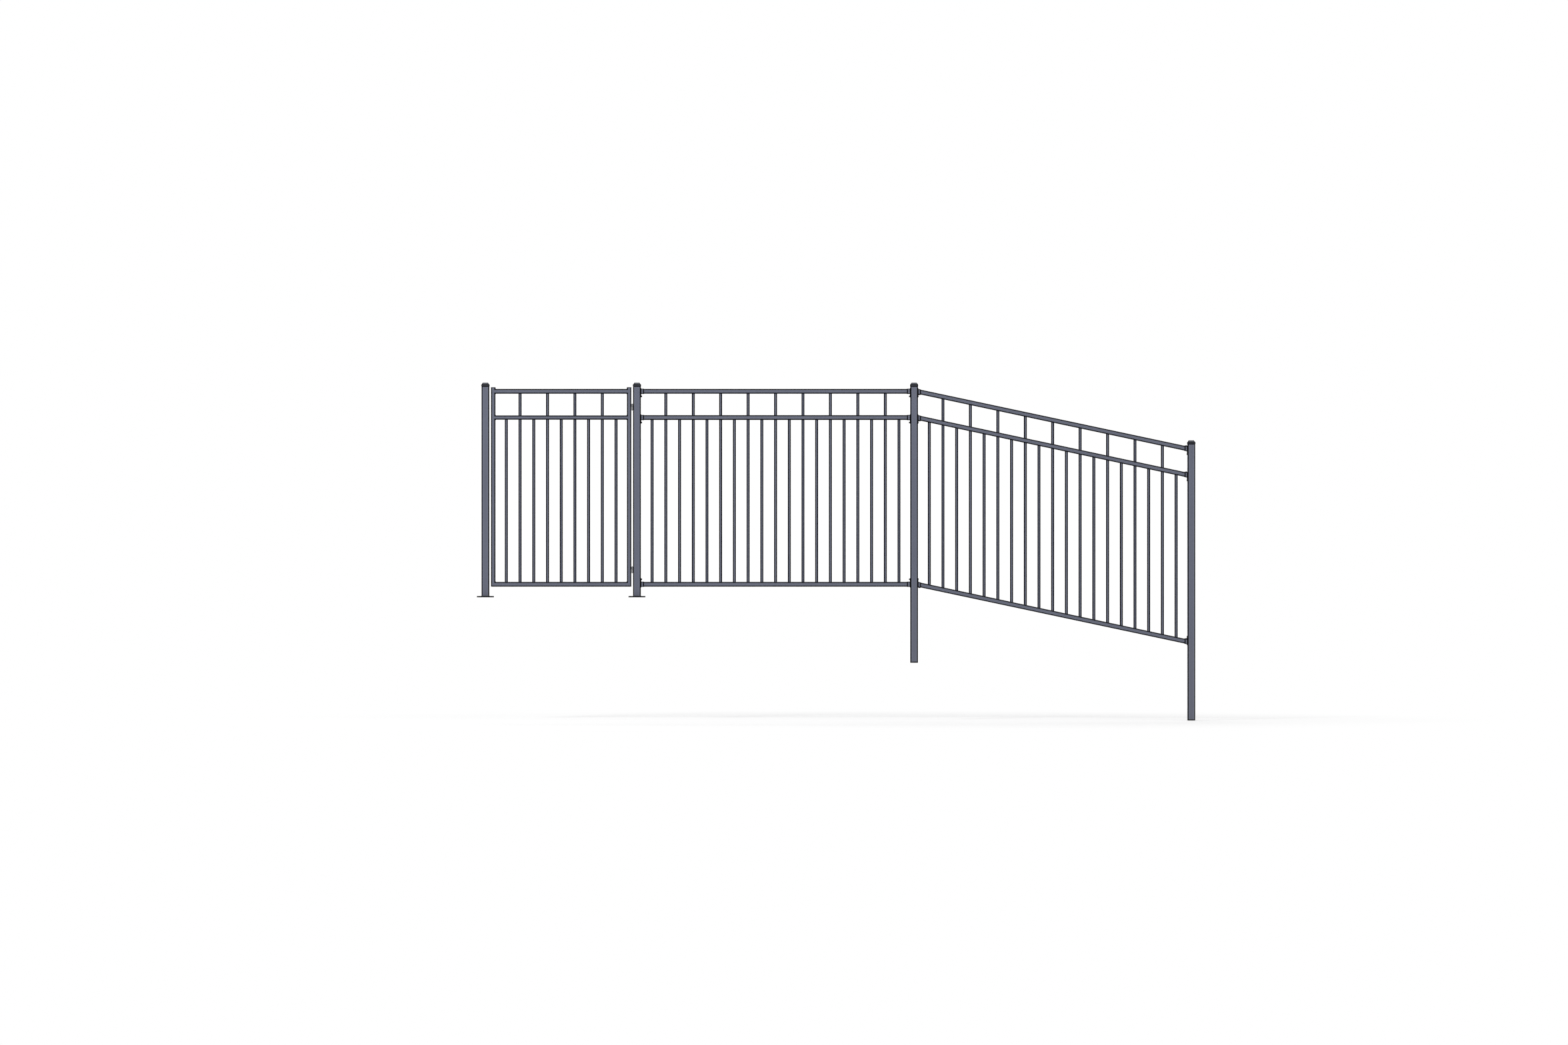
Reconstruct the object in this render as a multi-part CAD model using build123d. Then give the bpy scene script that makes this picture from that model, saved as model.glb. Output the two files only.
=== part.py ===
from build123d import *
import os
from math import cos, radians, tan

os.makedirs("parts", exist_ok=True)

# Lengths are in millimetres. X runs along the fence, Y to its back, Z up.
# The origin is the middle of the underside of the middle post's base plate, at ground level.

# Layout of the run
bay_length = 1828.8
gate_bay = 1000.0
gate_gap = 12.0
rake_angle = 12.0
panel_top = 1375.2
middle_rail_drop = 173.0
bottom_rail_height = 85.9

# Posts, caps and base plates
post_size = 50.8
post_wall = 2.0
post_corner = 5.0
post_above_rail = 27.6
buried_length = 432.0
cap_wall = 1.2
cap_skirt = 10.1
cap_slope = 13.3
cap_flat = 34.0
cap_flat_corner = 1.5
cap_edge = 0.5
plate_size = 110.0
plate_thick = 8.0
plate_corner = 8.0
plate_edge = 0.8
anchor_spacing = 76.2
anchor_hole = 11.0

# Rails and pickets, and the smallest corner inside any tube
rail_size = 31.75
rail_wall = 1.6
rail_corner = 3.2
picket_size = 20.0
picket_wall = 1.25
picket_corner = 2.6
picket_count = 19
end_space = 99.9
fit = 0.25
end_gap = 0.8
inner_corner = 0.4

# Rail brackets
flange_thick = 3.0
flange_width = 40.0
flange_lip = 4.2
flange_tab = 22.5
flange_corner = 4.0
flange_edge = 0.8
collar_length = 21.5
collar_wall = 1.4
rake_pivot = 19.0
boot_length = 19.0
boot_heel = 5.4
boot_corner = 3.0

# Gate leaf
stile_size = 28.6
gate_middle_rail = 28.6
stile_above_rail = 7.8
plug_thick = 3.6
plug_overhang = 0.8
plug_edge = 1.0
plug_depth = 14.0
gate_picket_count = 9
gate_end_space = 100.6

# Gate hinges
barrel_radius = 5.0
pin_radius = 2.6
pin_clearance = 0.1
barrel_length = 20.0
barrel_gap = 0.6
wing_depth = 10.0
hinge_from_top = 100.0
hinge_from_bottom = 75.0

# Places worked out from the sizes above
gate_post_x = -gate_bay
middle_post_x = 0.0
line_post_x = bay_length
end_post_x = 2 * bay_length
post_top = panel_top + post_above_rail
top_rail_height = panel_top - rail_size / 2
middle_rail_height = top_rail_height - middle_rail_drop
rail_heights = {
    "top": top_rail_height,
    "middle": middle_rail_height,
    "bottom": bottom_rail_height,
}
face_out = post_size / 2
pivot_run = bay_length - 2 * rake_pivot
end_post_drop = pivot_run * tan(radians(rake_angle))
collar_size = rail_size + 2 * (fit + collar_wall)

LOW = (Align.CENTER, Align.CENTER, Align.MIN)


def section(width, depth, corner):
    """Flat rectangle with rounded corners."""
    return RectangleRounded(width, depth, corner)


def standing_tube(width, depth, wall, corner, low, high):
    """Upright rectangular tube between two heights."""
    bore_corner = max(corner - wall, inner_corner)
    ring = section(width, depth, corner) - section(width - 2 * wall, depth - 2 * wall, bore_corner)
    return Pos(0, 0, low) * extrude(ring, amount=high - low)


def lying_tube(height, depth, wall, corner, length):
    """Rectangular tube along X, with its middle at the origin."""
    tube = standing_tube(height, depth, wall, corner, -length / 2, length / 2)
    return Rot(0, 90, 0) * tube


def line_height(height, x, pivot_x, rake):
    """Height of a rail's centre line at x, for a rail that passes through height at its pivot."""
    return height - (x - pivot_x) * tan(radians(rake))


def rail(height, tall, left, right, pivot_x, rake):
    """Rail tube with upright ends between two places, along its sloping centre line."""
    span = right - left
    middle = (left + right) / 2
    tube = lying_tube(tall, rail_size, rail_wall, rail_corner, (span + 2 * tall) / cos(radians(rake)))
    placed = Pos(middle, 0, line_height(height, middle, pivot_x, rake)) * Rot(0, rake, 0) * tube
    return placed & Pos(middle, 0, 0) * Box(span, 4 * rail_size, 4 * bay_length)


def punched(tube, centres, height, pivot_x, rake, side):
    """Rail with a square picket hole at each centre, through its upper or its lower wall."""
    hole = picket_size + 2 * fit
    cutters = []
    for x in centres:
        middle = line_height(height, x, pivot_x, rake) + side * rail_size / 2
        cutters.append(Pos(x, 0, middle) * Box(hole, hole, rail_size))
    return tube - cutters


def picket(x, foot_rail, foot_tall, head_rail, head_tall, pivot_x, rake):
    """Picket tube from the floor inside its lower rail to the roof inside its upper rail."""
    edge = picket_size / 2
    slope = cos(radians(rake))
    floor = line_height(foot_rail, x - edge, pivot_x, rake) - (foot_tall / 2 - rail_wall) / slope
    roof = line_height(head_rail, x + edge, pivot_x, rake) + (head_tall / 2 - rail_wall) / slope
    return Pos(x, 0, 0) * standing_tube(
        picket_size, picket_size, picket_wall, picket_corner, floor, roof - end_gap
    )


def picket_centres(first, last, count):
    """Evenly spaced places from the first to the last."""
    return [first + (last - first) * index / (count - 1) for index in range(count)]


def panel(left_post_x, rake):
    """Three punched rails and the pickets of one bay, level or raked."""
    pivot_x = left_post_x + rake_pivot
    left = left_post_x + face_out + flange_thick + end_gap
    right = left_post_x + bay_length - face_out - flange_thick - end_gap
    centres = picket_centres(left_post_x + end_space, left_post_x + bay_length - end_space, picket_count)
    long_ones = centres[1::2]
    rails = {}
    for name, height in rail_heights.items():
        rails[name] = rail(height, rail_size, left, right, pivot_x, rake)
    rails["top"] = punched(rails["top"], long_ones, top_rail_height, pivot_x, rake, -1)
    rails["middle"] = punched(rails["middle"], centres, middle_rail_height, pivot_x, rake, -1)
    rails["middle"] = punched(rails["middle"], long_ones, middle_rail_height, pivot_x, rake, 1)
    rails["bottom"] = punched(rails["bottom"], centres, bottom_rail_height, pivot_x, rake, 1)
    pickets = []
    for index, x in enumerate(centres):
        head = top_rail_height if index % 2 else middle_rail_height
        pickets.append(picket(x, bottom_rail_height, rail_size, head, rail_size, pivot_x, rake))
    return rails, Compound(children=pickets)


def cap():
    """Hollow post cap with a skirt, four sloping sides and a flat top, at height zero on the post."""
    outside = post_size + 2 * (fit + cap_wall)
    rim = section(outside, outside, post_corner + fit + cap_wall)
    skirt = Pos(0, 0, -cap_skirt) * extrude(rim, amount=cap_skirt)
    skirt = chamfer(skirt.faces().sort_by(Axis.Z)[0].edges(), cap_edge)
    crown = loft([rim, Pos(0, 0, cap_slope) * section(cap_flat, cap_flat, cap_flat_corner)])
    mouth = post_size + 2 * fit
    pocket = extrude(section(mouth, mouth, post_corner + fit), amount=-2 * cap_skirt)
    return skirt + crown - pocket


def base_plate():
    """Square plate with four anchor holes, its underside at height zero."""
    plate = extrude(section(plate_size, plate_size, plate_corner), amount=plate_thick)
    plate = chamfer(plate.faces().sort_by(Axis.Z)[-1].edges(), plate_edge)
    holes = GridLocations(anchor_spacing, anchor_spacing, 2, 2) * Cylinder(anchor_hole / 2, 4 * plate_thick)
    return plate - list(holes)


def flange(tab_side):
    """Bracket plate on a post's right face, with a screw tab below or above the rail at the origin."""
    near = collar_size / 2 + flange_lip
    far = collar_size / 2 + flange_tab
    plate = extrude(section(near + far, flange_width, flange_corner), amount=flange_thick)
    plate = chamfer(plate.faces().sort_by(Axis.Z)[-1].edges(), flange_edge)
    return Pos(0, 0, tab_side * (far - near) / 2) * Rot(0, 90, 0) * plate


def collar():
    """Square socket for a level rail, its back on the bracket plate."""
    reach = collar_length - flange_thick
    tube = standing_tube(collar_size, collar_size, collar_wall, rail_corner + collar_wall, 0, reach)
    return Pos(flange_thick, 0, 0) * Rot(0, 90, 0) * tube


def boot():
    """Sloping socket for a raked rail, with a heel under it at the post."""
    half = collar_size / 2 / cos(radians(rake_angle))
    pivot_out = rake_pivot - face_out
    root = line_height(0, flange_thick, pivot_out, rake_angle)
    tip = line_height(0, boot_length, pivot_out, rake_angle)
    profile = Polyline(
        (flange_thick, root + half),
        (boot_length, tip + half),
        (boot_length, tip - half),
        (flange_thick, root - half - boot_heel),
        close=True,
    )
    body = extrude(Plane.XZ * make_face(profile), amount=collar_size / 2, both=True)
    side_edges = body.edges().filter_by(Axis.Y, reverse=True).filter_by(Axis.Z, reverse=True)
    body = fillet(side_edges, boot_corner)
    hollow = rail_size + 2 * fit
    way = Pos(pivot_out, 0, 0) * Rot(0, rake_angle, 0) * Box(8 * boot_length, hollow, hollow)
    way = way & Pos(flange_thick, 0, 0) * Box(
        8 * boot_length, 2 * hollow, 8 * boot_length, align=(Align.MIN, Align.CENTER, Align.CENTER)
    )
    return body - way


def plug_stem():
    """Stem that fits in a stile's bore, with its end at height zero and the rest below."""
    width = stile_size - 2 * (rail_wall + fit)
    depth = rail_size - 2 * (rail_wall + fit)
    corner = max(rail_corner - rail_wall - fit, inner_corner)
    return Pos(0, 0, -plug_depth) * extrude(section(width, depth, corner), amount=plug_depth)


def hinge_half(side):
    """Half barrel with a square wing on one side of the hinge line, its foot at height zero."""
    barrel = Cylinder(barrel_radius, barrel_length, align=LOW)
    wing = Box(gate_gap / 2, wing_depth, barrel_length, align=LOW)
    return barrel + Pos(side * gate_gap / 4, -wing_depth / 2, 0) * wing


def hinge_post_half():
    """Lower hinge half with the pin standing in it."""
    pin_length = 2 * barrel_length + barrel_gap
    return hinge_half(1) + Cylinder(pin_radius, pin_length, align=LOW)


def hinge_gate_half():
    """Upper hinge half, bored for the pin."""
    bore = Cylinder(pin_radius + pin_clearance, 4 * barrel_length)
    return Pos(0, 0, barrel_length + barrel_gap) * (hinge_half(-1) - bore)


nodes = {}

# Posts with their caps: two on base plates, two that run on into the ground
plated_posts = {"gate_post": gate_post_x, "middle_post": middle_post_x}
for name, x in plated_posts.items():
    tube = standing_tube(post_size, post_size, post_wall, post_corner, plate_thick, post_top)
    nodes[name] = Pos(x, 0, 0) * tube
    nodes[name + "_base_plate"] = Pos(x, 0, 0) * base_plate()
    nodes[name + "_cap"] = Pos(x, 0, post_top) * cap()

buried_posts = {"line_post": (line_post_x, 0.0), "end_post": (end_post_x, end_post_drop)}
for name, (x, drop) in buried_posts.items():
    tube = standing_tube(post_size, post_size, post_wall, post_corner, -buried_length, post_top)
    nodes[name] = Pos(x, 0, -drop) * tube
    nodes[name + "_cap"] = Pos(x, 0, post_top - drop) * cap()

# Panels
for bay, left_post_x, rake in (("level", middle_post_x, 0.0), ("raked", line_post_x, rake_angle)):
    rails, pickets = panel(left_post_x, rake)
    for name, tube in rails.items():
        nodes[f"{bay}_{name}_rail"] = tube
    nodes[f"{bay}_pickets"] = pickets

# Brackets: the screw tab is under the upper two rails and over the bottom one
for name, height in rail_heights.items():
    tab_side = 1 if name == "bottom" else -1
    right_hand = flange(tab_side)
    left_hand = Rot(0, 0, 180) * right_hand
    end_height = height - end_post_drop
    level_left = Pos(middle_post_x + face_out, 0, height) * (right_hand + collar())
    level_right = Pos(line_post_x - face_out, 0, height) * (left_hand + Rot(0, 0, 180) * collar())
    raked_left = Pos(line_post_x + face_out, 0, height) * (right_hand + boot())
    raked_right = Pos(end_post_x - face_out, 0, end_height) * (left_hand + Rot(0, 180, 0) * boot())
    nodes[f"level_{name}_left_bracket"] = level_left
    nodes[f"level_{name}_right_bracket"] = level_right
    nodes[f"raked_{name}_left_bracket"] = raked_left
    nodes[f"raked_{name}_right_bracket"] = raked_right

# Gate leaf
leaf_left = gate_post_x + face_out + gate_gap
leaf_right = middle_post_x - face_out - gate_gap
stile_low = bottom_rail_height - rail_size / 2
stile_high = panel_top + stile_above_rail
stile_places = {"latch": leaf_left + stile_size / 2, "hinge": leaf_right - stile_size / 2}
plugs = []
plug_rim = section(stile_size + 2 * plug_overhang, rail_size + 2 * plug_overhang, rail_corner + plug_overhang)
plug_lid = extrude(plug_rim, amount=plug_thick)
plug_lid = chamfer(plug_lid.faces().sort_by(Axis.Z)[-1].edges(), plug_edge)
head_plug = plug_lid + plug_stem()
foot_plug = Rot(180, 0, 0) * plug_stem()
for name, x in stile_places.items():
    stile = standing_tube(stile_size, rail_size, rail_wall, rail_corner, stile_low, stile_high)
    nodes[f"gate_{name}_stile"] = Pos(x, 0, 0) * stile
    plugs.append(Pos(x, 0, stile_low) * foot_plug)
    plugs.append(Pos(x, 0, stile_high) * head_plug)
nodes["gate_stile_plugs"] = Compound(children=plugs)

gate_centres = picket_centres(leaf_left + gate_end_space, leaf_right - gate_end_space, gate_picket_count)
gate_long = gate_centres[1::2]
inside = (leaf_left + stile_size, leaf_right - stile_size)
gate_top = rail(top_rail_height, rail_size, *inside, 0, 0)
gate_middle = rail(middle_rail_height, gate_middle_rail, *inside, 0, 0)
gate_bottom = rail(bottom_rail_height, rail_size, *inside, 0, 0)
gate_middle = punched(gate_middle, gate_centres, middle_rail_height, 0, 0, -1)
nodes["gate_top_rail"] = punched(gate_top, gate_long, top_rail_height, 0, 0, -1)
nodes["gate_middle_rail"] = punched(gate_middle, gate_long, middle_rail_height, 0, 0, 1)
nodes["gate_bottom_rail"] = punched(gate_bottom, gate_centres, bottom_rail_height, 0, 0, 1)
gate_pickets = []
for index, x in enumerate(gate_centres):
    head, tall = (top_rail_height, rail_size) if index % 2 else (middle_rail_height, gate_middle_rail)
    gate_pickets.append(picket(x, bottom_rail_height, rail_size, head, tall, 0, 0))
nodes["gate_pickets"] = Compound(children=gate_pickets)

# Hinges, in the gap at the back of the leaf
hinge_x = middle_post_x - face_out - gate_gap / 2
hinge_y = rail_size / 2
hinge_feet = {
    "upper": panel_top - hinge_from_top - 2 * barrel_length,
    "lower": bottom_rail_height + hinge_from_bottom,
}
for name, foot in hinge_feet.items():
    place = Pos(hinge_x, hinge_y, foot)
    nodes[f"{name}_hinge_post_half"] = place * hinge_post_half()
    nodes[f"{name}_hinge_gate_half"] = place * hinge_gate_half()

for name, shape in nodes.items():
    export_step(shape, f"parts/{name}.step")
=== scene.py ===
"""Looks for a run of square-tube picket fence with a gate: satin powder coat, screws, welds and hinges."""

import math

import bmesh
import bpy
import numpy as np
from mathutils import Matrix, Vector


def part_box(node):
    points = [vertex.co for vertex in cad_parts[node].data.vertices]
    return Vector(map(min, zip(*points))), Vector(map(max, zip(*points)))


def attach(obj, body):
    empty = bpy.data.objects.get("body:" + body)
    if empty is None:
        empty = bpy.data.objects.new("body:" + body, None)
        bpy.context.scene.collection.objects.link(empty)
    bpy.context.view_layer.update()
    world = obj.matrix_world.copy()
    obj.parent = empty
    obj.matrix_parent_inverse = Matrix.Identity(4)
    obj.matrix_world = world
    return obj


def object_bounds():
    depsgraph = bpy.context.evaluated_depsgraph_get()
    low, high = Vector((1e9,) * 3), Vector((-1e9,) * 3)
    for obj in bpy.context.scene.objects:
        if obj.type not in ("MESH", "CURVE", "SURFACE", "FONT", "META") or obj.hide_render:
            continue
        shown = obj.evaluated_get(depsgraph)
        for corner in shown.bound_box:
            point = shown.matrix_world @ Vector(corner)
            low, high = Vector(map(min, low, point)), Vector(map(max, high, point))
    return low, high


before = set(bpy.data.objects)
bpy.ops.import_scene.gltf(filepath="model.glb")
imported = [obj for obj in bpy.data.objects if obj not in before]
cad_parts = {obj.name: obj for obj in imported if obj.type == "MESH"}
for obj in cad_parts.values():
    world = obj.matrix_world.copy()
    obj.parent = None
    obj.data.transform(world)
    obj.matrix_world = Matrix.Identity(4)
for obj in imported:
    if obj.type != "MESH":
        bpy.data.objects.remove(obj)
cad_low, cad_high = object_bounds()
object_middle = (cad_low + cad_high) / 2

# Lengths are in metres. X runs along the fence, Y to its back, Z up.
posts = ("gate_post", "middle_post", "line_post", "end_post")
plated_posts = ("gate_post", "middle_post")
rail_levels = ("top", "middle", "bottom")
hinges = ("upper", "lower")

# Tubes, caps and plates
rake_angle = math.radians(12.0)
post_half = 0.0254
post_corner = 0.005
rail_half = 0.015875
rail_corner = 0.0032
picket_half = 0.010
picket_pitch = 0.0905
cap_rise = 0.0133
cap_run = 0.00985
plate_thick = 0.008

# Rail brackets
flange_thick = 0.003
tab_reach = 0.040025
tab_screw_inset = 0.0069
collar_half = 0.017525
collar_screw_out = 0.0122
pivot_out = -0.0064
boot_length = 0.019
boot_heel = 0.0054

# Hinges
barrel_length = 0.020
barrel_gap = 0.0006
pin_radius = 0.0026
washer_radius = 0.0049
washer_half = 0.0002
washer_clearance = 0.00005

# Weld sizes
foot_weld = 0.0027
frame_weld = 0.0036
hinge_weld = 0.0024
seam_half = 0.0052
seam_proud = 0.0003
seam_sunk = 0.0012
seam_shift = 0.0028
seam_inset = 0.0046
weld_step = 0.00045
ripple_pitch = 0.0024

# Shape of a weld bead: shares of its leg, and the slow drift of its size along the run
bead_roundness = 1.6
bead_sunk = 0.2
crescent_lag = 0.25
ripple_swell = 0.07
drift_swell = 0.05
drift_rate = 190.0

# Meshes: points round or across a shape, the spin from one head to the next, merging and creases
bracket_screw_columns = 48
picket_screw_columns = 24
dome_columns = 32
washer_columns = 40
bead_points = 7
seam_points = 9
golden_angle = 2.39996
merge_distance = 1e-7
crease_angle = math.radians(40.0)

# Camera: a long lens straight in front, because the picture is a front elevation
frame_width = 10.347
camera_distance = 60.0
camera_aim = (0.9702, 0.0, 0.4936)
sensor_width = 36.0
sight_end = 500.0

# Floor and room
floor_reach = 30.0
floor_fade = (0.22, 0.30, 1.0)
floor_lift = 0.27
floor_rough = 0.9
room_level = 0.42

# Painted shade: dark runs along edges and across posts and fittings, a painted highlight band inside them,
# and their ragged border
post_edge = 0.0088
rail_edge = 0.0084
picket_edge = 0.0082
fitting_edge = 0.0060
cap_line = 0.0048
mouth_line = 0.0080
flange_line = 0.0042
highlight_band = 0.0060
edge_raggedness = 0.0006

# Powder coat: how far each layer covers, and its roughness
tone_spread = 0.16
# How much of the painted highlight shows
highlight_cover = 0.8
soil_share = 0.5
rub_amount = 0.35
rub_cover = 0.25
satin_smooth = 0.42
satin_rough = 0.52
dust_rough = 0.5
soil_rough = 0.6
rub_rough = 0.2
powder_specular = 0.05
clear_coat = 0.35
clear_coat_rough = 0.38

# Powder coat of a piece with no slanting face, and of one that no soil reaches
flat_facet = (1, 0, 0)
far_below = -9.0

# Tarnish: how far it darkens plated metal, and how much of the metal it hides
tarnish_cover = 0.6
tarnish_loss = 0.5

# Colours, linear
slate = (0.132, 0.143, 0.190, 1.0)
# Painted highlight, paler than the slate
highlight_slate = (0.165, 0.179, 0.238, 1.0)
cap_slate = (0.090, 0.098, 0.130, 1.0)
weld_slate = (0.040, 0.044, 0.060, 1.0)
# Near black for the painted shade on the powder coat, and for tarnish on plated metal
shade_and_tarnish_black = (0.003, 0.003, 0.0035, 1.0)
pale_dust = (0.36, 0.36, 0.36, 1.0)
dry_soil = (0.20, 0.18, 0.155, 1.0)
plug_black = (0.020, 0.021, 0.025, 1.0)
screw_grey = (0.045, 0.047, 0.055, 1.0)
bronze = (0.33, 0.21, 0.10, 1.0)
bright_zinc = (0.80, 0.80, 0.81, 1.0)
floor_grey = (0.88, 0.88, 0.88, 1.0)
white = (1.0, 1.0, 1.0, 1.0)


# Shapes

def closed_quads(rows, columns, copies, ring):
    """Quads over a grid whose last column meets its first, for each copy; in a ring the last row meets the
    first too."""
    row, column = np.meshgrid(np.arange(rows if ring else rows - 1), np.arange(columns), indexing="ij")
    this_row = row * columns
    next_row = (row + 1) % rows * columns
    beside = (column + 1) % columns
    corners = (this_row + column, this_row + beside, next_row + beside, next_row + column)
    quads = np.stack(corners, axis=-1).reshape(1, -1, 4)
    return (quads + np.arange(copies).reshape(-1, 1, 1) * rows * columns).reshape(-1, 4)


def add_piece(name, points, material, body, ring=False):
    """Piece from points of shape (copies, rows, columns, 3), with its poles merged and its faces outward."""
    copies, rows, columns, _ = points.shape
    quads = closed_quads(rows, columns, copies, ring)
    mesh = bpy.data.meshes.new(name)
    mesh.from_pydata(points.reshape(-1, 3).tolist(), [], quads.tolist())
    shell = bmesh.new()
    shell.from_mesh(mesh)
    bmesh.ops.remove_doubles(shell, verts=shell.verts, dist=merge_distance)
    bmesh.ops.recalc_face_normals(shell, faces=shell.faces)
    shell.to_mesh(mesh)
    shell.free()
    mesh.polygons.foreach_set("use_smooth", np.ones(len(mesh.polygons), bool))
    mesh.set_sharp_from_angle(angle=crease_angle)
    mesh.materials.append(material)
    piece = bpy.data.objects.new(name, mesh)
    bpy.context.scene.collection.objects.link(piece)
    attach(piece, body)


def turned_heads(centres, axes, profile, columns):
    """Heads turned about their axes, each spun a golden angle further than the last. At angle t a row's
    radius is the smaller of its round radius and apothem / cos(t folded into one side) of its polygon, and
    the point is centre + axis * height + radius * (across * cos t + upward * sin t)."""
    centres = np.array(centres, float)
    axes = np.array(axes, float)
    round_radius, height, apothem, sides = np.array(profile, float).T[:, :, None]
    turn = np.arange(columns) * 2 * np.pi / columns
    half_side = np.pi / sides
    folded = (turn + half_side) % (2 * half_side) - half_side
    radius = np.minimum(round_radius, apothem / np.cos(folded))
    helper = np.where(np.abs(axes[:, 2:]) > 0.5, (1.0, 0.0, 0.0), (0.0, 0.0, 1.0))
    side = np.cross(helper, axes)
    spin = np.arange(len(axes))[:, None] * golden_angle
    across = side * np.cos(spin) + np.cross(axes, side) * np.sin(spin)
    upward = np.cross(axes, across)
    along = axes[:, None, None, :] * height[None, :, :, None]
    cosine = np.cos(turn)[:, None]
    sine = np.sin(turn)[:, None]
    round_way = across[:, None, None, :] * cosine + upward[:, None, None, :] * sine
    return centres[:, None, None, :] + along + round_way * radius[None, :, :, None]


def ring_points(centres, profile, columns):
    """Flat rings about upright axes: the profile's radius and height carried once round each centre."""
    centres = np.array(centres, float)[:, None, None, :]
    radius, height = np.array(profile, float).T[:, :, None]
    turn = np.arange(columns) * 2 * np.pi / columns
    level = np.broadcast_to(height, (len(profile), columns))
    return centres + np.stack([radius * np.cos(turn), radius * np.sin(turn), level], axis=-1)[None]


def run_along(path):
    """Distance from the start of each path at each of its points."""
    step = np.linalg.norm(np.diff(path, axis=1), axis=2)
    return np.concatenate([np.zeros((len(path), 1)), np.cumsum(step, axis=1)], axis=1)


def shut_ends(run):
    """Size along a bead that shrinks to a point at both ends: at share s of the run, the root of
    1 - |2 * s - 1| to the ninth power."""
    share = run / run[:, -1:]
    return np.sqrt(np.clip(1 - np.abs(2 * share - 1) ** 9, 0, 1))


def carried(path, first_side, second_side, section, size):
    """Closed section carried along each path: point = path + size * (a * first side + b * second side)."""
    offset = section[:, :1] * first_side[:, :, None, :] + section[:, 1:] * second_side[:, :, None, :]
    return path[:, :, None, :] + size[..., None] * offset


def flush_seam(path, across, outward):
    """Welds ground almost flush: a shallow lens, proud * (1 - a * a) high at share a of its half width, with
    its back sunk in the tubes."""
    share = np.linspace(1, -1, seam_points)
    lens = np.stack([share * seam_half, seam_proud * (1 - share**2)], axis=1)
    back = np.array([(-seam_half, -seam_sunk), (seam_half, -seam_sunk)])
    size = shut_ends(run_along(path))[:, :, None]
    return carried(path, across, outward, np.concatenate([lens, back]), size)


def weld_bead(path, first_side, second_side, leg, ring=False):
    """Fillet welds along inside corners. A rounded triangle with one leg on each side is carried along the
    path. Its size swells and sinks with every ripple, in crescents, and drifts slowly, and an open bead
    shrinks to a point at both ends."""
    lean = np.linspace(0, np.pi / 2, bead_points)
    face = np.stack([np.cos(lean) ** bead_roundness, np.sin(lean) ** bead_roundness], axis=1)
    section = np.concatenate([[(1.0, -bead_sunk)], face, [(-bead_sunk, 1.0), (-bead_sunk, -bead_sunk)]])
    bulge = np.concatenate([[0.0], np.sin(2 * lean), [0.0, 0.0]])
    run = run_along(path)
    crescent = (run[:, :, None] + crescent_lag * leg * bulge) * 2 * np.pi / ripple_pitch
    drift = drift_swell * np.sin(run[:, :, None] * drift_rate)
    size = leg * (1 + ripple_swell * np.sin(crescent) + drift)
    if not ring:
        size = size * shut_ends(run)[:, :, None]
    return carried(path, first_side, second_side, section, size)


def straight_paths(starts, ends):
    """Evenly stepped straight paths: start + (end - start) * share for shares from 0 to 1."""
    starts = np.array(starts, float)[:, None, :]
    ends = np.array(ends, float)[:, None, :]
    steps = int(np.linalg.norm(ends - starts, axis=2).max() / weld_step) + 2
    return starts + (ends - starts) * np.linspace(0, 1, steps)[:, None]


def square_loop(half, corner):
    """Loop round a square with rounded corners: along each side, then a quarter turn about the corner's
    centre. Gives its points and its outward directions in the plane."""
    side_steps = int(2 * (half - corner) / weld_step)
    turn_steps = int(corner * np.pi / 2 / weld_step) + 2
    along = np.linspace(-1, 1, side_steps, endpoint=False) * (half - corner)
    angle = np.linspace(0, np.pi / 2, turn_steps, endpoint=False)
    side = np.stack([np.full(side_steps, half), along], axis=1)
    side_out = np.tile((1.0, 0.0), (side_steps, 1))
    turn_out = np.stack([np.cos(angle), np.sin(angle)], axis=1)
    quarter = np.concatenate([side, half - corner + corner * turn_out])
    quarter_out = np.concatenate([side_out, turn_out])
    quarter_turns = np.arange(4) * np.pi / 2
    turns = [np.array([[math.cos(a), math.sin(a)], [-math.sin(a), math.cos(a)]]) for a in quarter_turns]
    return np.concatenate([quarter @ t for t in turns]), np.concatenate([quarter_out @ t for t in turns])


# Shader nodes

def feed(tree, socket, value):
    """Sets an input to a number or a colour, or joins it to an output."""
    if isinstance(value, bpy.types.NodeSocket):
        tree.links.new(value, socket)
    else:
        socket.default_value = value


def shade(tree, kind, inputs, output=0, **settings):
    """Adds a node with its settings and inputs, and gives one of its outputs."""
    made = tree.nodes.new("ShaderNode" + kind)
    for key, value in settings.items():
        setattr(made, key, value)
    for key, value in inputs.items():
        feed(tree, made.inputs[key], value)
    return made.outputs[output]


def sums(tree, operation, *values):
    """Math node on one, two or three values."""
    return shade(tree, "Math", dict(enumerate(values)), operation=operation)


def past(tree, value, start):
    """Value less a start."""
    return sums(tree, "SUBTRACT", value, start)


def inside(tree, half, offset):
    """Distance in from the edge of a piece of that half width, for an offset from its middle."""
    return sums(tree, "SUBTRACT", half, sums(tree, "ABSOLUTE", offset))


def ramp(tree, value, low, high, start=0.0, end=1.0):
    """Smooth step of a value: start at low, end at high."""
    inputs = {"Value": value, "From Min": low, "From Max": high, "To Min": start, "To Max": end}
    return shade(tree, "MapRange", inputs, interpolation_type="SMOOTHSTEP")


def split(tree, place):
    """X, Y and Z of a place."""
    parts = tree.nodes.new("ShaderNodeSeparateXYZ")
    feed(tree, parts.inputs[0], place)
    return parts.outputs


def stretched(tree, place, stretch):
    """Place scaled along each axis."""
    return shade(tree, "VectorMath", {0: place, 1: stretch}, operation="MULTIPLY")


def noise(tree, place, scale, detail=2.0):
    """Soft noise over the place, about 0 to 1."""
    return shade(tree, "TexNoise", {"Vector": place, "Scale": scale, "Detail": detail})


def mixed(tree, share, first, second):
    """Colour between two colours, through the Mix node's factor and its pair of colour inputs."""
    return shade(tree, "Mix", {0: share, 6: first, 7: second}, output=2, data_type="RGBA")


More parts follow.
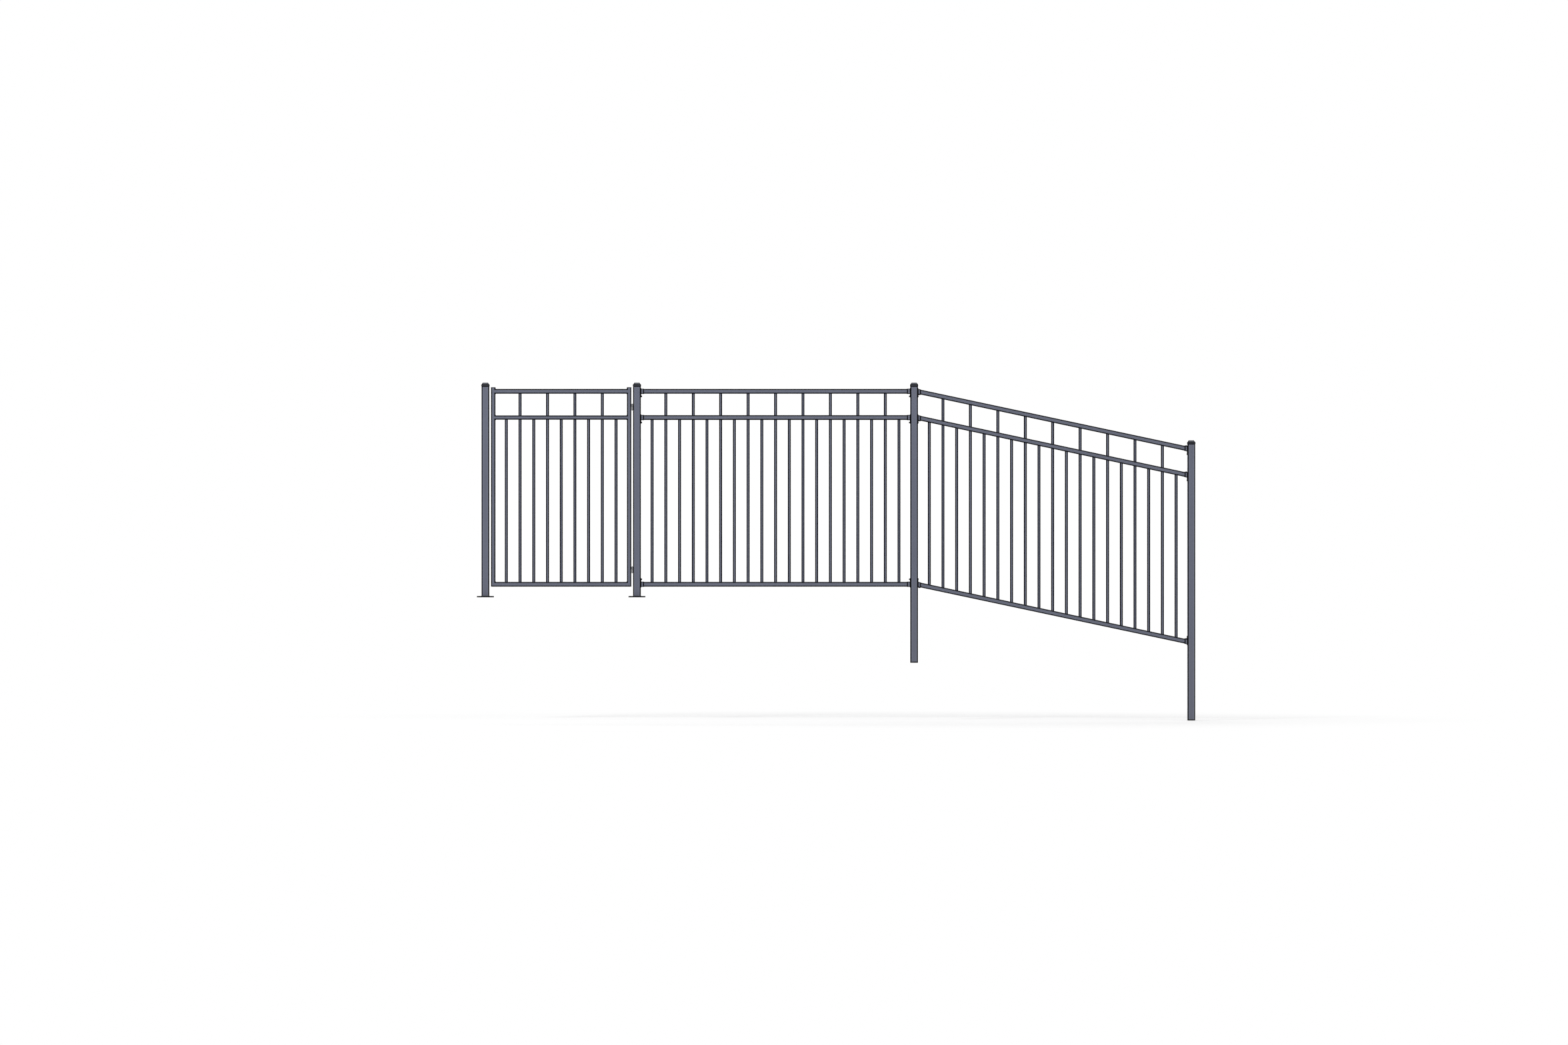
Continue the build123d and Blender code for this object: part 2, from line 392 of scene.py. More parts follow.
def group(name, inputs, output):
    """New shader group with a place and other named inputs, each with its usual value, and one output. Gives
    the tree and its two ends."""
    tree = bpy.data.node_groups.new(name, "ShaderNodeTree")
    for socket, (kind, usual) in {"Place": ("Vector", (0, 0, 0)), **inputs}.items():
        made = tree.interface.new_socket(socket, in_out="INPUT", socket_type="NodeSocket" + kind)
        made.default_value = usual
    tree.interface.new_socket(output[0], in_out="OUTPUT", socket_type="NodeSocket" + output[1])
    return tree, tree.nodes.new("NodeGroupInput").outputs, tree.nodes.new("NodeGroupOutput").inputs[0]


def use(tree, shared, **inputs):
    """Places a shader group in a material and gives its output."""
    made = tree.nodes.new("ShaderNodeGroup")
    made.node_tree = shared
    for key, value in inputs.items():
        feed(tree, made.inputs[key], value)
    return made.outputs[0]


def tone_drift_group():
    """Colour times 1 + Spread * (1.5 * wide patches + upright rain streaks)."""
    inputs = {"Colour": ("Color", slate), "Spread": ("Float", 0.1)}
    tree, given, result = group("tone_drift", inputs, ("Colour", "Color"))
    patches = past(tree, noise(tree, given["Place"], scale=2.1), 0.5)
    streak_place = stretched(tree, given["Place"], (55, 55, 1.3))
    streaks = past(tree, noise(tree, streak_place, scale=1.0), 0.5)
    drift = sums(tree, "MULTIPLY_ADD", patches, 1.5, streaks)
    level = sums(tree, "MULTIPLY_ADD", drift, given["Spread"], 1.0)
    feed(tree, result, shade(tree, "VectorMath", {0: given["Colour"], "Scale": level}, operation="SCALE"))
    return tree


def orange_peel_group():
    """Height of sprayed and baked powder: soft dimples as wide as Grain, and faint ones four times finer."""
    tree, given, result = group("orange_peel", {"Grain": ("Float", 0.003)}, ("Height", "Float"))
    scale = sums(tree, "DIVIDE", 1.0, given["Grain"])
    dimples = noise(tree, given["Place"], scale, detail=0.0)
    fine = noise(tree, given["Place"], sums(tree, "MULTIPLY", scale, 4.0), detail=1.0)
    feed(tree, result, sums(tree, "MULTIPLY_ADD", fine, 0.22, dimples))
    return tree


def corner_shade_group():
    """Painted shade along rounded corners: 1 less the greatest share of the normal along X, Y, Z, or
    along the facet and its quarter turn, once turned back by the slope; broken up by noise."""
    inputs = {
        "Facing": ("Vector", (0, 0, 1)),
        "Slope": ("Float", 0.0),
        "Facet": ("Vector", flat_facet),
        "Amount": ("Float", 1.0),
    }
    tree, given, result = group("corner_shade", inputs, ("Mask", "Float"))
    turn = {"Vector": given["Facing"], "Angle": given["Slope"]}
    turned = shade(tree, "VectorRotate", turn, rotation_type="Y_AXIS")
    bare = shade(tree, "VectorMath", {0: turned}, operation="ABSOLUTE")
    x, y, z = split(tree, bare)
    quarter = shade(tree, "CombineXYZ", {0: y, 1: x, 2: z})
    flat = sums(tree, "MAXIMUM", sums(tree, "MAXIMUM", x, y), z)
    for way in (bare, quarter):
        share = shade(tree, "VectorMath", {0: way, 1: given["Facet"]}, output=1, operation="DOT_PRODUCT")
        flat = sums(tree, "MAXIMUM", flat, share)
    corner = ramp(tree, flat, low=0.998, high=0.93)
    grain = noise(tree, given["Place"], scale=70.0, detail=4.0)
    broken = ramp(tree, grain, low=0.30, high=0.62, start=0.70, end=1.0)
    painted_shade = sums(tree, "MULTIPLY", corner, broken)
    feed(tree, result, sums(tree, "MULTIPLY", painted_shade, given["Amount"]))
    return tree


def dark_line_group():
    """Painted shade, a dark run beside an edge: full up to 0.7 of Width from the edge, gone at Width, with a
    ragged border.
    """
    inputs = {"Distance": ("Float", 1.0), "Width": ("Float", 0.005)}
    tree, given, result = group("dark_line", inputs, ("Mask", "Float"))
    ragged = past(tree, noise(tree, given["Place"], scale=240.0, detail=3.0), 0.5)
    distance = sums(tree, "MULTIPLY_ADD", ragged, edge_raggedness, given["Distance"])
    share = sums(tree, "DIVIDE", distance, given["Width"])
    feed(tree, result, ramp(tree, share, low=1.0, high=0.7))
    return tree


def settled_dust_group():
    """Dust on what faces up: the square of the upward share of the normal, in patches."""
    inputs = {"Facing": ("Vector", (0, 0, 1)), "Amount": ("Float", 0.3)}
    tree, given, result = group("settled_dust", inputs, ("Mask", "Float"))
    _, _, rise = split(tree, given["Facing"])
    upward = sums(tree, "POWER", sums(tree, "MAXIMUM", rise, 0.0), 2.0)
    cloud = noise(tree, given["Place"], scale=42.0, detail=5.0)
    patches = ramp(tree, cloud, low=0.28, high=0.72, start=0.25, end=1.0)
    settled = sums(tree, "MULTIPLY", upward, patches)
    feed(tree, result, sums(tree, "MULTIPLY", settled, given["Amount"]))
    return tree


def ground_splash_group():
    """Soil thrown up from the ground: full at the ground and below, gone at Reach above it, in specks."""
    inputs = {"Ground": ("Float", 0.0), "Reach": ("Float", 0.14), "Amount": ("Float", 0.3)}
    tree, given, result = group("ground_splash", inputs, ("Mask", "Float"))
    _, _, z = split(tree, given["Place"])
    above = past(tree, z, given["Ground"])
    near = ramp(tree, sums(tree, "DIVIDE", above, given["Reach"]), low=1.0, high=0.0)
    specks = ramp(tree, noise(tree, given["Place"], scale=460.0, detail=8.0), low=0.46, high=0.64)
    thrown = sums(tree, "MULTIPLY", near, specks)
    feed(tree, result, sums(tree, "MULTIPLY", thrown, given["Amount"]))
    return tree


def hairlines_group():
    """Fine rubbed lines along Z and along X, only in some patches."""
    tree, given, result = group("hairlines", {"Amount": ("Float", 0.3)}, ("Mask", "Float"))
    upright_place = stretched(tree, given["Place"], (420, 420, 14))
    lying_place = stretched(tree, given["Place"], (14, 420, 420))
    upright = ramp(tree, noise(tree, upright_place, scale=1.0), low=0.66, high=0.74)
    lying = ramp(tree, noise(tree, lying_place, scale=1.0), low=0.66, high=0.74)
    patches = ramp(tree, noise(tree, given["Place"], scale=7.0), low=0.50, high=0.68)
    lines = sums(tree, "MULTIPLY", sums(tree, "MAXIMUM", upright, lying), patches)
    feed(tree, result, sums(tree, "MULTIPLY", lines, given["Amount"]))
    return tree


tone_drift = tone_drift_group()
orange_peel = orange_peel_group()
corner_shade = corner_shade_group()
dark_line = dark_line_group()
settled_dust = settled_dust_group()
ground_splash = ground_splash_group()
hairlines = hairlines_group()


# Distances that the dark runs of painted shade follow

def tube_offset(tree, place, tube, run):
    """Offset of a place from the middle line of a tube, seen from the front: across a standing tube, up from
    a lying one, square to a raked one that falls with its slope, and from the nearest of pickets at an even
    pitch."""
    low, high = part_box(tube)
    middle = (low + high) / 2
    x, _, z = split(tree, place)
    if run == "standing":
        return past(tree, x, middle.x)
    if run == "pickets":
        return sums(tree, "PINGPONG", past(tree, x, low.x + picket_half), picket_pitch / 2)
    if run == "lying":
        return past(tree, z, middle.z)
    along = past(tree, x, middle.x)
    level = sums(tree, "MULTIPLY_ADD", along, math.tan(rake_angle), past(tree, z, middle.z))
    return sums(tree, "MULTIPLY", level, math.cos(rake_angle))


def tube_edges(tree, place, tube, run, half, deep):
    """Distance of a place on a tube from the nearest of its long edges."""
    across = inside(tree, half, tube_offset(tree, place, tube, run))
    return sums(tree, "MAXIMUM", across, inside(tree, deep, split(tree, place)[1]))


def cap_edges(tree, place, cap):
    """Distance of a place on a cap from its corners, which lean inward above the shoulder."""
    low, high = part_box(cap)
    x, y, z = split(tree, place)
    above = sums(tree, "MAXIMUM", past(tree, z, high.z - cap_rise), 0.0)
    half = sums(tree, "MULTIPLY_ADD", above, -cap_run / cap_rise, (high.x - low.x) / 2)
    across = inside(tree, half, past(tree, x, (low.x + high.x) / 2))
    return sums(tree, "MAXIMUM", across, inside(tree, half, y))


def plate_edges(tree, place, plate):
    """Distance of a place on a plate from the nearest of its four sides."""
    low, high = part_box(plate)
    middle = (low + high) / 2
    half = (high - low) / 2
    x, y, _ = split(tree, place)
    along = inside(tree, half.x, past(tree, x, middle.x))
    return sums(tree, "MINIMUM", along, inside(tree, half.y, past(tree, y, middle.y)))


# Finishes

def new_finish(name):
    """Material with its shader's inputs, and the object coordinates and normal that its patterns follow."""
    material = bpy.data.materials.new(name)
    material.use_nodes = True
    tree = material.node_tree
    coordinates = tree.nodes.new("ShaderNodeTexCoord").outputs
    return material, tree, tree.nodes["Principled BSDF"].inputs, coordinates["Object"], coordinates["Normal"]


def dimple(tree, shader, place, grain, strength, depth):
    """Gives a finish a bump of orange peel."""
    height = use(tree, orange_peel, Place=place, Grain=grain)
    bump = {"Height": height, "Strength": strength, "Distance": depth}
    feed(tree, shader["Normal"], shade(tree, "Bump", bump))


def powder_coat(
    name,
    colour=slate,
    edges=None,
    lines=(),
    width=rail_edge,
    highlight_width=0.0,
    slope=0.0,
    facet=flat_facet,
    grain=0.003,
    depth=0.0001,
    shade_amount=1.0,
    ground=far_below,
    dusting=0.35,
):
    """Satin powder coat with orange peel, drifting tone, rubbed lines, dust and splashed soil. It has painted
    shade, dark on corners, beside the edges and on the lines, each given by an axis, a place on it and a
    width, and it can have a painted highlight, a paler band inside the dark edges."""
    material, tree, shader, place, facing = new_finish(name)
    tone = use(tree, tone_drift, Place=place, Colour=colour, Spread=tone_spread)
    painted_shade = use(tree, corner_shade, Place=place, Facing=facing, Slope=slope, Facet=facet, Amount=shade_amount)
    runs = []
    if edges:
        measure, *sizes = edges
        distance = measure(tree, place, *sizes)
        runs.append((distance, width))
        # Painted highlight: a paler band just inside the dark edges
        if highlight_width:
            highlight_mask = use(tree, dark_line, Place=place, Distance=distance, Width=width + highlight_width)
            tone = mixed(tree, sums(tree, "MULTIPLY", highlight_mask, highlight_cover), tone, highlight_slate)
    for axis, line_place, line_width in lines:
        offset = past(tree, split(tree, place)["XYZ".index(axis)], line_place)
        runs.append((sums(tree, "ABSOLUTE", offset), line_width))
    # Painted shade: dark runs beside the edges and on the lines
    for distance, run_width in runs:
        run = use(tree, dark_line, Place=place, Distance=distance, Width=run_width)
        painted_shade = sums(tree, "MAXIMUM", painted_shade, sums(tree, "MULTIPLY", run, shade_amount))
    dust = use(tree, settled_dust, Place=place, Facing=facing, Amount=dusting)
    soil = use(tree, ground_splash, Place=place, Ground=ground, Amount=soil_share * dusting)
    rubbed = use(tree, hairlines, Place=place, Amount=rub_amount)
    # Painted shade: the tone goes to near black on the corners and along the dark runs
    tone = mixed(tree, painted_shade, tone, shade_and_tarnish_black)
    tone = mixed(tree, sums(tree, "MULTIPLY", rubbed, rub_cover), tone, pale_dust)
    tone = mixed(tree, dust, tone, pale_dust)
    feed(tree, shader["Base Color"], mixed(tree, soil, tone, dry_soil))
    cloud = noise(tree, place, scale=18.0, detail=3.0)
    rough = ramp(tree, cloud, low=0.3, high=0.7, start=satin_smooth, end=satin_rough)
    for layer, added in ((dust, dust_rough), (soil, soil_rough), (rubbed, rub_rough)):
        rough = sums(tree, "MULTIPLY_ADD", layer, added, rough)
    feed(tree, shader["Roughness"], rough)
    shader["Specular IOR Level"].default_value = powder_specular
    # No clear coat where the painted shade, dust or soil lies
    bare = sums(tree, "MAXIMUM", painted_shade, sums(tree, "MAXIMUM", dust, soil))
    feed(tree, shader["Coat Weight"], sums(tree, "MULTIPLY_ADD", bare, -clear_coat, clear_coat))
    shader["Coat Roughness"].default_value = clear_coat_rough
    dimple(tree, shader, place, grain, strength=0.6, depth=depth)
    return material


def moulded_plastic(name, colour):
    """Matt black plastic with a fine spark-eroded grain and pale dust on top."""
    material, tree, shader, place, facing = new_finish(name)
    tone = use(tree, tone_drift, Place=place, Colour=colour, Spread=0.25)
    dust = use(tree, settled_dust, Place=place, Facing=facing, Amount=0.22)
    feed(tree, shader["Base Color"], mixed(tree, dust, tone, pale_dust))
    grain = noise(tree, place, scale=900.0, detail=3.0)
    feed(tree, shader["Roughness"], ramp(tree, grain, low=0.3, high=0.7, start=0.50, end=0.64))
    dimple(tree, shader, place, grain=0.0008, strength=0.5, depth=0.00006)
    return material


def plated_metal(name, colour, metal, grain):
    """Plated or plain metal with a fine grain, tarnish and a little dust."""
    material, tree, shader, place, facing = new_finish(name)
    tone = use(tree, tone_drift, Place=place, Colour=colour, Spread=0.5)
    dust = use(tree, settled_dust, Place=place, Facing=facing, Amount=0.25)
    tarnish = ramp(tree, noise(tree, place, scale=420.0, detail=4.0), low=0.35, high=0.70)
    tone = mixed(tree, sums(tree, "MULTIPLY", tarnish, tarnish_cover), tone, shade_and_tarnish_black)
    feed(tree, shader["Base Color"], mixed(tree, dust, tone, pale_dust))
    feed(tree, shader["Metallic"], sums(tree, "MULTIPLY_ADD", tarnish, -tarnish_loss * metal, metal))
    feed(tree, shader["Roughness"], ramp(tree, tarnish, low=0.0, high=1.0, start=0.30, end=0.52))
    dimple(tree, shader, place, grain, strength=0.4, depth=0.00005)
    return material


def brushed_zinc(name, colour):
    """Bright zinc plate with fine rubbed lines and a little dust."""
    material, tree, shader, place, facing = new_finish(name)
    tone = use(tree, tone_drift, Place=place, Colour=colour, Spread=0.2)
    dust = use(tree, settled_dust, Place=place, Facing=facing, Amount=0.2)
    rubbed = use(tree, hairlines, Place=place, Amount=0.8)
    feed(tree, shader["Base Color"], mixed(tree, dust, tone, pale_dust))
    shader["Metallic"].default_value = 0.5
    feed(tree, shader["Roughness"], ramp(tree, rubbed, low=0.0, high=1.0, start=0.34, end=0.48))
    dimple(tree, shader, place, grain=0.0007, strength=0.3, depth=0.00004)
    return material


weld_coat = powder_coat("weld_powder_coat", weld_slate, shade_amount=0.0, grain=0.0012, depth=0.00008)
hinge_zinc = brushed_zinc("hinge_bright_zinc", bright_zinc)
plug_plastic = moulded_plastic("plug_plastic", plug_black)
screw_metal = plated_metal("screw_black_zinc", screw_grey, metal=0.7, grain=0.0006)
washer_metal = plated_metal("washer_bronze", bronze, metal=1.0, grain=0.0005)


# Finishes of the CAD nodes

def facet_of(rise, run):
    """Level and upward shares of the normal of a face that climbs by rise over run."""
    length = math.hypot(rise, run)
    return rise / length, 0.0, run / length


def post_coat(name):
    """Coat of a post, with soil splashed about its ground level, and painted shade under its cap and at its
    foot:
    as wide as its edges on a buried foot, and as a weld on a plated one."""
    low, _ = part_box(name)
    line_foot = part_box("line_post")[0].z
    ground = low.z - line_foot if name == "end_post" else 0.0
    under_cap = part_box(name + "_cap")[0].z
    foot_line = foot_weld if name in plated_posts else post_edge
    return powder_coat(
        f"{name}_coat",
        edges=(tube_edges, name, "standing", post_half, post_half),
        lines=[("Z", low.z, foot_line), ("Z", under_cap, cap_line)],
        width=post_edge,
        highlight_width=highlight_band,
        ground=ground,
    )


def cap_coat(name):
    """Coat of a cap, with painted shade at its corners, its shoulder and its rims."""
    low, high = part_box(name)
    return powder_coat(
        f"{name}_coat",
        cap_slate,
        edges=(cap_edges, name),
        lines=[("Z", height, cap_line) for height in (low.z, high.z - cap_rise, high.z)],
        width=fitting_edge,
        facet=facet_of(cap_rise, cap_run),
        grain=0.0022,
    )


def bracket_coat(name):
    """Coat of a rail bracket, with painted shade on its flange, round the mouth of its socket and along its
    edges.
    """
    low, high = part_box(name)
    bay, level = name.split("_")[:2]
    raked = bay == "raked"
    boot_reach = boot_length - flange_thick
    boot_facet = facet_of(boot_heel - boot_reach * math.tan(rake_angle), boot_reach)
    run = "raked" if raked else "lying"
    flange_x, mouth_x = (low.x, high.x) if "_left_" in name else (high.x, low.x)
    return powder_coat(
        f"{name}_coat",
        edges=(tube_edges, f"{bay}_{level}_rail", run, collar_half, collar_half),
        lines=[("X", flange_x, flange_line), ("X", mouth_x, mouth_line)],
        width=fitting_edge,
        facet=boot_facet if raked else flat_facet,
        grain=0.0016,
        depth=0.00016,
    )


def tube_coat(name):
    """Coat of a rail, a stile or a set of pickets, with painted shade along its edges, and on the pickets a
    painted highlight band inside that shade.
    """
    low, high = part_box(name)
    half = (high - low) / 2
    if name.endswith("_pickets"):
        edges = (tube_edges, name, "pickets", picket_half, picket_half)
        return powder_coat(f"{name}_coat", edges=edges, width=picket_edge, highlight_width=highlight_band)
    if name.endswith("_stile"):
        edges = (tube_edges, name, "standing", half.x, half.y)
        return powder_coat(f"{name}_coat", edges=edges, lines=[("Z", low.z, rail_edge)])
    if name.startswith("raked"):
        edges = (tube_edges, name, "raked", rail_half, rail_half)
        return powder_coat(f"{name}_coat", edges=edges, slope=-rake_angle)
    return powder_coat(f"{name}_coat", edges=(tube_edges, name, "lying", half.z, half.y))


def finish_of(name):
    """Finish of a CAD node, from the kind of piece that it is."""
    if name in posts:
        return post_coat(name)
    if name.endswith("_base_plate"):
        return powder_coat(f"{name}_coat", edges=(plate_edges, name), dusting=0.1)
    if name.endswith("_cap"):
        return cap_coat(name)
    if name.endswith("_bracket"):
        return bracket_coat(name)
    if "hinge_post_half" in name or "hinge_gate_half" in name:
        return hinge_zinc
    if name.endswith("_plugs"):
        return plug_plastic
    return tube_coat(name)


for node_name, node_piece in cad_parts.items():
    node_piece.data.materials.clear()
    node_piece.data.materials.append(finish_of(node_name))


# Screws

# Rows of a head, from its seat out: round radius, height, and the apothem and sides of a polygon within it
open_round = (1.0, 6)
hex_head = [
    (0.0000, -0.0004, *open_round),
    (0.0060, -0.0004, *open_round),
    (0.0060, 0.0005, *open_round),
    (0.0056, 0.0010, *open_round),
    (0.0048, 0.0013, *open_round),
    (0.0047, 0.0013, 0.0040, 6),
    (0.0047, 0.0053, 0.0040, 6),
    (0.0043, 0.0058, 0.0040, 6),
    (0.0037, 0.0060, *open_round),
    (0.0024, 0.0060, *open_round),
    (0.0019, 0.0056, *open_round),
    (0.0000, 0.0055, *open_round),
]
low_head = [
    (0.0000, -0.0003, *open_round),
    (0.0058, -0.0003, *open_round),
    (0.0058, 0.0004, *open_round),
    (0.0053, 0.0010, *open_round),
    (0.0042, 0.0015, *open_round),
    (0.0026, 0.0018, *open_round),
    (0.0022, 0.0018, 0.0019, 6),
    (0.0022, 0.0006, 0.0018, 6),
    (0.0000, 0.0005, *open_round),
]
pan_head = [
    (0.0000, -0.0003, *open_round),
    (0.0036, -0.0003, *open_round),
    (0.0036, 0.0006, *open_round),
    (0.0033, 0.0013, *open_round),
    (0.0027, 0.0018, *open_round),
    (0.0020, 0.0020, *open_round),
    (0.0020, 0.0020, 0.0012, 4),
    (0.0020, 0.0008, 0.0011, 4),
    (0.0000, 0.0007, *open_round),
]
pin_dome = [
    (0.0000, -0.0002, *open_round),
    (0.0045, -0.0002, *open_round),
    (0.0045, 0.0005, *open_round),
    (0.0041, 0.0013, *open_round),
    (0.0032, 0.0019, *open_round),
    (0.0017, 0.0023, *open_round),
    (0.0000, 0.0024, *open_round),
]


def add_bracket_screws(bay, tab_head):
    """Screws of a bay's rail brackets: through each tab into the post, and through the back of each socket
    into the rail, on the rail's middle line."""
    tab_places = []
    tab_axes = []
    rail_places = []
    rail_fall = (collar_screw_out - pivot_out) * math.tan(rake_angle) if bay == "raked" else 0.0
    for level in rail_levels:
        for end, out in (("left", 1.0), ("right", -1.0)):
            low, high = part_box(f"{bay}_{level}_{end}_bracket")
            post_face = low.x if out > 0 else high.x
            tab_end, inward = (high.z, -1.0) if level == "bottom" else (low.z, 1.0)
            tab_places.append((post_face + out * flange_thick, 0.0, tab_end + inward * tab_screw_inset))
            tab_axes.append((out, 0.0, 0.0))
            rail_line = tab_end + inward * tab_reach - out * rail_fall
            rail_places.append((post_face + out * collar_screw_out, collar_half, rail_line))
    tab_screws = turned_heads(tab_places, tab_axes, tab_head, bracket_screw_columns)
    add_piece(f"{bay}_bracket_tab_screws", tab_screws, screw_metal, "fence")
    back_ways = np.tile((0.0, 1.0, 0.0), (len(rail_places), 1))
    rail_screws = turned_heads(rail_places, back_ways, hex_head, bracket_screw_columns)
    add_piece(f"{bay}_bracket_rail_screws", rail_screws, screw_metal, "fence")


def add_picket_screws(panel, body, slope):
    """Screws on the back of a panel's rails: at every picket on the two lower rails, at every second one on
    the top rail."""
    low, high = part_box(f"{panel}_pickets")
    count = round((high.x - low.x - 2 * picket_half) / picket_pitch) + 1
    centres = np.linspace(low.x + picket_half, high.x - picket_half, count)
    places = []
    for level in rail_levels:
        rail_low, rail_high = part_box(f"{panel}_{level}_rail")
        middle_x = (rail_low.x + rail_high.x) / 2
        middle_z = (rail_low.z + rail_high.z) / 2
        held = centres[1::2] if level == "top" else centres
        heights = middle_z - (held - middle_x) * math.tan(slope)
        places.append(np.stack([held, np.full(len(held), rail_high.y), heights], axis=1))
    places = np.concatenate(places)
    back_ways = np.tile((0.0, 1.0, 0.0), (len(places), 1))
    screws = turned_heads(places, back_ways, pan_head, picket_screw_columns)
    add_piece(f"{panel}_picket_screws", screws, screw_metal, body)


add_bracket_screws("level", hex_head)
add_bracket_screws("raked", low_head)
add_picket_screws("level", "fence", 0.0)
add_picket_screws("raked", "fence", rake_angle)
add_picket_screws("gate", "gate", 0.0)


# Welds

def add_foot_welds():
    """Welds round the feet of the posts that stand on base plates."""
    loop, loop_out = square_loop(post_half, post_corner)
    paths = []
    for post in plated_posts:
        low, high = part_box(post)
        centre = ((low.x + high.x) / 2, (low.y + high.y) / 2)
        paths.append(np.column_stack([loop + centre, np.full(len(loop), plate_thick)]))
    outward = np.column_stack([loop_out, np.zeros(len(loop))])[None]
    upward = np.tile((0.0, 0.0, 1.0), (1, len(loop), 1))
    feet = weld_bead(np.array(paths), outward, upward, foot_weld, ring=True)
    add_piece("post_foot_welds", feet, weld_coat, "fence", ring=True)


def add_gate_frame_welds():
    """Welds in the corners between the gate's rails and stiles: over each rail, and under the upper two."""
    starts = []
    ends = []
    sideways = []
    standing = []
    for level in rail_levels:
        low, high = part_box(f"gate_{level}_rail")
        reach = high.y - rail_corner
        sides = [(high.z, 1.0)] if level == "bottom" else [(high.z, 1.0), (low.z, -1.0)]
        for x, inward in ((low.x, 1.0), (high.x, -1.0)):
            for z, way in sides:
                starts.append((x, -reach, z))
                ends.append((x, reach, z))
                sideways.append(((inward, 0.0, 0.0),))
                standing.append(((0.0, 0.0, way),))
    beads = weld_bead(straight_paths(starts, ends), np.array(sideways), np.array(standing), frame_weld)
    add_piece("gate_frame_welds", beads, weld_coat, "gate")


def add_gate_rail_seams(rail_name):
    """Flush seams on the front and back of a gate rail's two ends, in the rail's own coat."""
    low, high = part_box(rail_name)
    starts = []
    ends = []
    outward = []
    for x in (low.x - seam_shift, high.x + seam_shift):
        for y, way in ((low.y, -1.0), (high.y, 1.0)):
            starts.append((x, y, low.z + seam_inset))
            ends.append((x, y, high.z - seam_inset))
            outward.append(((0.0, way, 0.0),))
    across = np.tile((1.0, 0.0, 0.0), (len(starts), 1, 1))
    seams = flush_seam(straight_paths(starts, ends), across, np.array(outward))
    rail_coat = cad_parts[rail_name].data.materials[0]
    add_piece(f"{rail_name}_seams", seams, rail_coat, "gate")


add_foot_welds()
add_gate_frame_welds()
for rail_level in rail_levels:
    add_gate_rail_seams(f"gate_{rail_level}_rail")


# Hinges

def add_hinge_pins():
    """Domed ends of the hinge pins, and the washers between the two halves of each hinge."""
    stile_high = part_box("gate_hinge_stile")[1]
    hinge_x = (stile_high.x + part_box("middle_post")[0].x) / 2
    hinge_y = stile_high.y
    dome_places = []
    dome_axes = []
    washer_places = []
    for hinge in hinges:
        low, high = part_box(f"{hinge}_hinge_post_half")
        dome_places += [(hinge_x, hinge_y, high.z), (hinge_x, hinge_y, low.z)]
        dome_axes += [(0.0, 0.0, 1.0), (0.0, 0.0, -1.0)]
        washer_places.append((hinge_x, hinge_y, low.z + barrel_length + barrel_gap / 2))
    domes = turned_heads(dome_places, dome_axes, pin_dome, dome_columns)
    add_piece("hinge_pin_ends", domes, screw_metal, "fence")
    bore = pin_radius + washer_clearance
    underside = [(bore, -washer_half), (washer_radius, -washer_half)]
    top = [(washer_radius, washer_half), (bore, washer_half)]
    washers = ring_points(washer_places, underside + top, washer_columns)
    add_piece("hinge_washers", washers, washer_metal, "fence", ring=True)


def add_hinge_welds(body, half, face_x, way):
    """Welds along the front of the wings of one body's hinge halves, where they meet the face of its tube."""
    starts = []
    ends = []
    for hinge in hinges:
        low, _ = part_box(f"{hinge}_hinge_{half}")
        starts.append((face_x, low.y, low.z))
        ends.append((face_x, low.y, low.z + barrel_length))
    toward = np.tile((way, 0.0, 0.0), (len(starts), 1, 1))
    frontward = np.tile((0.0, -1.0, 0.0), (len(starts), 1, 1))
    beads = weld_bead(straight_paths(starts, ends), toward, frontward, hinge_weld)
    add_piece(f"hinge_{half}_welds", beads, hinge_zinc, body)


add_hinge_pins()
add_hinge_welds("fence", "post_half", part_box("middle_post")[0].x, -1.0)
add_hinge_welds("gate", "gate_half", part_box("gate_hinge_stile")[1].x, 1.0)


# Floor, light and camera

def seen_rays(tree):
    """1 for the rays that see the background: straight from the camera, off gloss and through glass."""
    path = tree.nodes.new("ShaderNodeLightPath").outputs
    seen = sums(tree, "MAXIMUM", path["Is Camera Ray"], path["Is Glossy Ray"])
    return sums(tree, "MAXIMUM", seen, path["Is Transmission Ray"])


def floor_paint():
    """Pale paint that keeps the object's shadow near it, and is plain white to the eye further out."""
    material, tree, shader, place, _ = new_finish("pale_floor")
    shader["Base Color"].default_value = floor_grey
    shader["Roughness"].default_value = floor_rough
    shader["Specular IOR Level"].default_value = 0.0
    under_object = (object_middle.x, object_middle.y, cad_low.z)
    centred = shade(tree, "VectorMath", {0: place, 1: under_object}, operation="SUBTRACT")
    faded = stretched(tree, centred, floor_fade)
    distance = shade(tree, "VectorMath", {0: faded}, output=1, operation="LENGTH")
    seen = seen_rays(tree)
    far_share = sums(tree, "MULTIPLY", seen, ramp(tree, distance, low=0.5, high=1.0))
    far = shade(tree, "Emission", {"Color": white, "Strength": 1.0})
    lift = shade(tree, "Emission", {"Color": white, "Strength": sums(tree, "MULTIPLY", seen, floor_lift)})
    near = shade(tree, "AddShader", {0: tree.nodes["Principled BSDF"].outputs[0], 1: lift})
    look = shade(tree, "MixShader", {0: far_share, 1: near, 2: far})
    feed(tree, tree.nodes["Material Output"].inputs["Surface"], look)
    return material


